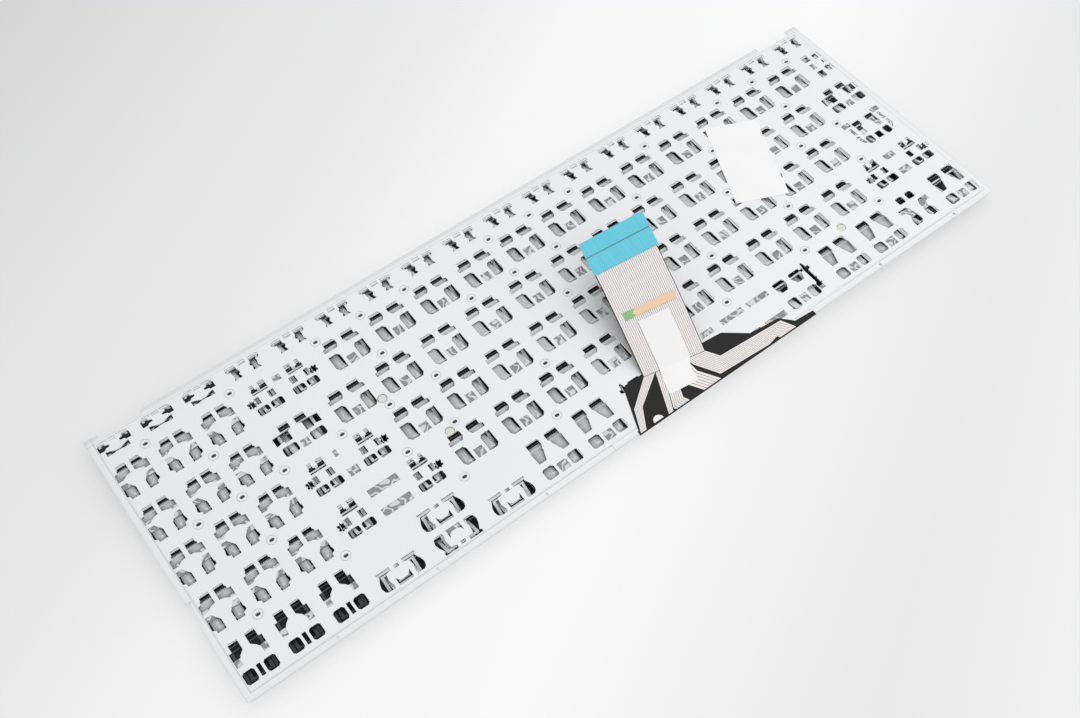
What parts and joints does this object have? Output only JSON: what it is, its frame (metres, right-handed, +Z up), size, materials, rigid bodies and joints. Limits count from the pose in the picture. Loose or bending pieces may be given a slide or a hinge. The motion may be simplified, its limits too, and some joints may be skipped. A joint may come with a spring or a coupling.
{
  "type": "laptop replacement keyboard",
  "caption": "Flat laptop keyboard with a punched steel back plate, two-film membrane, silicone domes, scissor frames, keycaps and a ribbon tail, lying face down.",
  "frame": {"origin": "centre of the bounding box on the plane of the key tops, on which the keyboard lies face down", "axes": "+X along the rows towards the tab and caps lock keys, +Y towards the function row, +Z up, out of the back plate"},
  "size_m": [0.3228, 0.11, 0.0272],
  "materials": {
    "plate_steel": "satin silver-white lacquer on sheet steel",
    "film_dark": "black printed polyester film with pale tracks",
    "film_clear": "milky polyester film",
    "stiffener_blue": "turquoise polyester",
    "tape_peach": "matt tape",
    "paper_white": "matt paper label",
    "silicone": "matt silicone",
    "frame_grey": "satin moulded plastic",
    "frame_light": "satin moulded plastic",
    "frame_dark": "satin moulded plastic",
    "keycap_silver": "fine matt silver-grey paint",
    "wire_steel": "bright steel wire"
  },
  "bodies": {
    "base": {"back_plate": "plate_steel", "circuit_film": "film_dark", "contact_film": "film_clear", "tail_stiffener": "stiffener_blue", "tail_guard_strip": "tape_peach", "tail_label": "paper_white", "plate_label": "paper_white", "rubber_domes": "silicone", "scissor_outer_frames": "frame_grey", "scissor_inner_frames": "frame_light", "dark_scissor_frames": "frame_dark", "fixed_keycaps": "keycap_silver"},
    "key_q": {"keycap_q": "keycap_silver"},
    "key_w": {"keycap_w": "keycap_silver"},
    "key_e": {"keycap_e": "keycap_silver"},
    "key_r": {"keycap_r": "keycap_silver"},
    "key_t": {"keycap_t": "keycap_silver"},
    "key_y": {"keycap_y": "keycap_silver"},
    "key_u": {"keycap_u": "keycap_silver"},
    "key_i": {"keycap_i": "keycap_silver"},
    "key_o": {"keycap_o": "keycap_silver"},
    "key_p": {"keycap_p": "keycap_silver"},
    "key_a": {"keycap_a": "keycap_silver"},
    "key_s": {"keycap_s": "keycap_silver"},
    "key_d": {"keycap_d": "keycap_silver"},
    "key_f": {"keycap_f": "keycap_silver"},
    "key_g": {"keycap_g": "keycap_silver"},
    "key_h": {"keycap_h": "keycap_silver"},
    "key_j": {"keycap_j": "keycap_silver"},
    "key_k": {"keycap_k": "keycap_silver"},
    "key_l": {"keycap_l": "keycap_silver"},
    "key_z": {"keycap_z": "keycap_silver"},
    "key_x": {"keycap_x": "keycap_silver"},
    "key_c": {"keycap_c": "keycap_silver"},
    "key_v": {"keycap_v": "keycap_silver"},
    "key_b": {"keycap_b": "keycap_silver"},
    "key_n": {"keycap_n": "keycap_silver"},
    "key_m": {"keycap_m": "keycap_silver"},
    "key_space": {"keycap_space": "keycap_silver"},
    "key_enter": {"keycap_enter": "keycap_silver"},
    "key_backspace": {"keycap_backspace": "keycap_silver"},
    "key_tab": {"keycap_tab": "keycap_silver"},
    "key_caps_lock": {"keycap_caps_lock": "keycap_silver"},
    "key_shift_left": {"keycap_shift_left": "keycap_silver"},
    "key_shift_right": {"keycap_shift_right": "keycap_silver"},
    "key_ctrl_left": {"keycap_ctrl_left": "keycap_silver"},
    "key_arrow_up": {"keycap_arrow_up": "keycap_silver"},
    "key_arrow_down": {"keycap_arrow_down": "keycap_silver"},
    "key_arrow_left": {"keycap_arrow_left": "keycap_silver"},
    "key_arrow_right": {"keycap_arrow_right": "keycap_silver"},
    "outer_g": {"scissor_outer_g": "frame_grey"},
    "inner_g": {"scissor_inner_g": "frame_light"},
    "outer_h": {"scissor_outer_h": "frame_grey"},
    "inner_h": {"scissor_inner_h": "frame_light"},
    "wire_space": {"wire_space": "wire_steel"},
    "wire_enter": {"wire_enter": "wire_steel"},
    "wire_backspace": {"wire_backspace": "wire_steel"},
    "wire_shift_left": {"wire_shift_left": "wire_steel"},
    "wire_shift_right": {"wire_shift_right": "wire_steel"}
  },
  "joints": [
    {"name": "press_q", "type": "slide", "parent": "base", "child": "key_q", "axis": [0, 0, 1], "range_m": [0, 0.0012], "stiffness_N_per_m": 400},
    {"name": "press_w", "type": "slide", "parent": "base", "child": "key_w", "axis": [0, 0, 1], "range_m": [0, 0.0012], "stiffness_N_per_m": 400},
    {"name": "press_e", "type": "slide", "parent": "base", "child": "key_e", "axis": [0, 0, 1], "range_m": [0, 0.0012], "stiffness_N_per_m": 400},
    {"name": "press_r", "type": "slide", "parent": "base", "child": "key_r", "axis": [0, 0, 1], "range_m": [0, 0.0012], "stiffness_N_per_m": 400},
    {"name": "press_t", "type": "slide", "parent": "base", "child": "key_t", "axis": [0, 0, 1], "range_m": [0, 0.0012], "stiffness_N_per_m": 400},
    {"name": "press_y", "type": "slide", "parent": "base", "child": "key_y", "axis": [0, 0, 1], "range_m": [0, 0.0012], "stiffness_N_per_m": 400},
    {"name": "press_u", "type": "slide", "parent": "base", "child": "key_u", "axis": [0, 0, 1], "range_m": [0, 0.0012], "stiffness_N_per_m": 400},
    {"name": "press_i", "type": "slide", "parent": "base", "child": "key_i", "axis": [0, 0, 1], "range_m": [0, 0.0012], "stiffness_N_per_m": 400},
    {"name": "press_o", "type": "slide", "parent": "base", "child": "key_o", "axis": [0, 0, 1], "range_m": [0, 0.0012], "stiffness_N_per_m": 400},
    {"name": "press_p", "type": "slide", "parent": "base", "child": "key_p", "axis": [0, 0, 1], "range_m": [0, 0.0012], "stiffness_N_per_m": 400},
    {"name": "press_a", "type": "slide", "parent": "base", "child": "key_a", "axis": [0, 0, 1], "range_m": [0, 0.0012], "stiffness_N_per_m": 400},
    {"name": "press_s", "type": "slide", "parent": "base", "child": "key_s", "axis": [0, 0, 1], "range_m": [0, 0.0012], "stiffness_N_per_m": 400},
    {"name": "press_d", "type": "slide", "parent": "base", "child": "key_d", "axis": [0, 0, 1], "range_m": [0, 0.0012], "stiffness_N_per_m": 400},
    {"name": "press_f", "type": "slide", "parent": "base", "child": "key_f", "axis": [0, 0, 1], "range_m": [0, 0.0012], "stiffness_N_per_m": 400},
    {"name": "press_g", "type": "slide", "parent": "base", "child": "key_g", "axis": [0, 0, 1], "range_m": [0, 0.0012], "stiffness_N_per_m": 400},
    {"name": "press_h", "type": "slide", "parent": "base", "child": "key_h", "axis": [0, 0, 1], "range_m": [0, 0.0012], "stiffness_N_per_m": 400},
    {"name": "press_j", "type": "slide", "parent": "base", "child": "key_j", "axis": [0, 0, 1], "range_m": [0, 0.0012], "stiffness_N_per_m": 400},
    {"name": "press_k", "type": "slide", "parent": "base", "child": "key_k", "axis": [0, 0, 1], "range_m": [0, 0.0012], "stiffness_N_per_m": 400},
    {"name": "press_l", "type": "slide", "parent": "base", "child": "key_l", "axis": [0, 0, 1], "range_m": [0, 0.0012], "stiffness_N_per_m": 400},
    {"name": "press_z", "type": "slide", "parent": "base", "child": "key_z", "axis": [0, 0, 1], "range_m": [0, 0.0012], "stiffness_N_per_m": 400},
    {"name": "press_x", "type": "slide", "parent": "base", "child": "key_x", "axis": [0, 0, 1], "range_m": [0, 0.0012], "stiffness_N_per_m": 400},
    {"name": "press_c", "type": "slide", "parent": "base", "child": "key_c", "axis": [0, 0, 1], "range_m": [0, 0.0012], "stiffness_N_per_m": 400},
    {"name": "press_v", "type": "slide", "parent": "base", "child": "key_v", "axis": [0, 0, 1], "range_m": [0, 0.0012], "stiffness_N_per_m": 400},
    {"name": "press_b", "type": "slide", "parent": "base", "child": "key_b", "axis": [0, 0, 1], "range_m": [0, 0.0012], "stiffness_N_per_m": 400},
    {"name": "press_n", "type": "slide", "parent": "base", "child": "key_n", "axis": [0, 0, 1], "range_m": [0, 0.0012], "stiffness_N_per_m": 400},
    {"name": "press_m", "type": "slide", "parent": "base", "child": "key_m", "axis": [0, 0, 1], "range_m": [0, 0.0012], "stiffness_N_per_m": 400},
    {"name": "press_space", "type": "slide", "parent": "base", "child": "key_space", "axis": [0, 0, 1], "range_m": [0, 0.0012], "stiffness_N_per_m": 400, "deforming": ["rubber_domes"]},
    {"name": "press_enter", "type": "slide", "parent": "base", "child": "key_enter", "axis": [0, 0, 1], "range_m": [0, 0.0012], "stiffness_N_per_m": 400, "deforming": ["scissor_outer_frames"]},
    {"name": "press_backspace", "type": "slide", "parent": "base", "child": "key_backspace", "axis": [0, 0, 1], "range_m": [0, 0.0012], "stiffness_N_per_m": 400, "deforming": ["scissor_inner_frames"]},
    {"name": "press_tab", "type": "slide", "parent": "base", "child": "key_tab", "axis": [0, 0, 1], "range_m": [0, 0.0012], "stiffness_N_per_m": 400},
    {"name": "press_caps_lock", "type": "slide", "parent": "base", "child": "key_caps_lock", "axis": [0, 0, 1], "range_m": [0, 0.0012], "stiffness_N_per_m": 400},
    {"name": "press_shift_left", "type": "slide", "parent": "base", "child": "key_shift_left", "axis": [0, 0, 1], "range_m": [0, 0.0012], "stiffness_N_per_m": 400},
    {"name": "press_shift_right", "type": "slide", "parent": "base", "child": "key_shift_right", "axis": [0, 0, 1], "range_m": [0, 0.0012], "stiffness_N_per_m": 400},
    {"name": "press_ctrl_left", "type": "slide", "parent": "base", "child": "key_ctrl_left", "axis": [0, 0, 1], "range_m": [0, 0.0012], "stiffness_N_per_m": 400},
    {"name": "press_arrow_up", "type": "slide", "parent": "base", "child": "key_arrow_up", "axis": [0, 0, 1], "range_m": [0, 0.0012], "stiffness_N_per_m": 400},
    {"name": "press_arrow_down", "type": "slide", "parent": "base", "child": "key_arrow_down", "axis": [0, 0, 1], "range_m": [0, 0.0012], "stiffness_N_per_m": 400},
    {"name": "press_arrow_left", "type": "slide", "parent": "base", "child": "key_arrow_left", "axis": [0, 0, 1], "range_m": [0, 0.0012], "stiffness_N_per_m": 400},
    {"name": "press_arrow_right", "type": "slide", "parent": "base", "child": "key_arrow_right", "axis": [0, 0, 1], "range_m": [0, 0.0012], "stiffness_N_per_m": 400},
    {"name": "fold_outer_g", "type": "hinge", "parent": "base", "child": "outer_g", "pos_m": [0.04728, -0.00001, 0.00415], "axis": [1, 0, 0], "range_deg": [-7.21, 0]},
    {"name": "fold_inner_g", "type": "hinge", "parent": "outer_g", "child": "inner_g", "pos_m": [0.04728, -0.00471, 0.0028], "axis": [1, 0, 0], "range_deg": [0, 14.41]},
    {"name": "fold_outer_h", "type": "hinge", "parent": "base", "child": "outer_h", "pos_m": [0.02823, -0.00001, 0.00415], "axis": [1, 0, 0], "range_deg": [-7.21, 0]},
    {"name": "fold_inner_h", "type": "hinge", "parent": "outer_h", "child": "inner_h", "pos_m": [0.02823, -0.00471, 0.0028], "axis": [1, 0, 0], "range_deg": [0, 14.41]},
    {"name": "turn_wire_space", "type": "hinge", "parent": "base", "child": "wire_space", "pos_m": [0.03746, -0.03587, 0.00415], "axis": [1, 0, 0], "range_deg": [-7.86, 0]},
    {"name": "turn_wire_enter", "type": "hinge", "parent": "base", "child": "wire_enter", "pos_m": [-0.09474, 0.00199, 0.00415], "axis": [1, 0, 0], "range_deg": [-12.23, 0]},
    {"name": "turn_wire_backspace", "type": "hinge", "parent": "base", "child": "wire_backspace", "pos_m": [-0.09705, 0.03953, 0.00415], "axis": [1, 0, 0], "range_deg": [-12.23, 0]},
    {"name": "turn_wire_shift_left", "type": "hinge", "parent": "base", "child": "wire_shift_left", "pos_m": [0.1425, -0.01678, 0.00415], "axis": [1, 0, 0], "range_deg": [-12.23, 0]},
    {"name": "turn_wire_shift_right", "type": "hinge", "parent": "base", "child": "wire_shift_right", "pos_m": [-0.09005, -0.01678, 0.00415], "axis": [1, 0, 0], "range_deg": [-12.23, 0]}
  ],
  "couplings": [
    {"joint": "fold_outer_g", "follows": "press_g", "rad_per_m": -104.77},
    {"joint": "fold_inner_g", "follows": "press_g", "rad_per_m": 209.54},
    {"joint": "fold_outer_h", "follows": "press_h", "rad_per_m": -104.77},
    {"joint": "fold_inner_h", "follows": "press_h", "rad_per_m": 209.54},
    {"joint": "turn_wire_space", "follows": "press_space", "rad_per_m": -114.22},
    {"joint": "turn_wire_enter", "follows": "press_enter", "rad_per_m": -177.81},
    {"joint": "turn_wire_backspace", "follows": "press_backspace", "rad_per_m": -177.81},
    {"joint": "turn_wire_shift_left", "follows": "press_shift_left", "rad_per_m": -177.81},
    {"joint": "turn_wire_shift_right", "follows": "press_shift_right", "rad_per_m": -177.81}
  ]
}
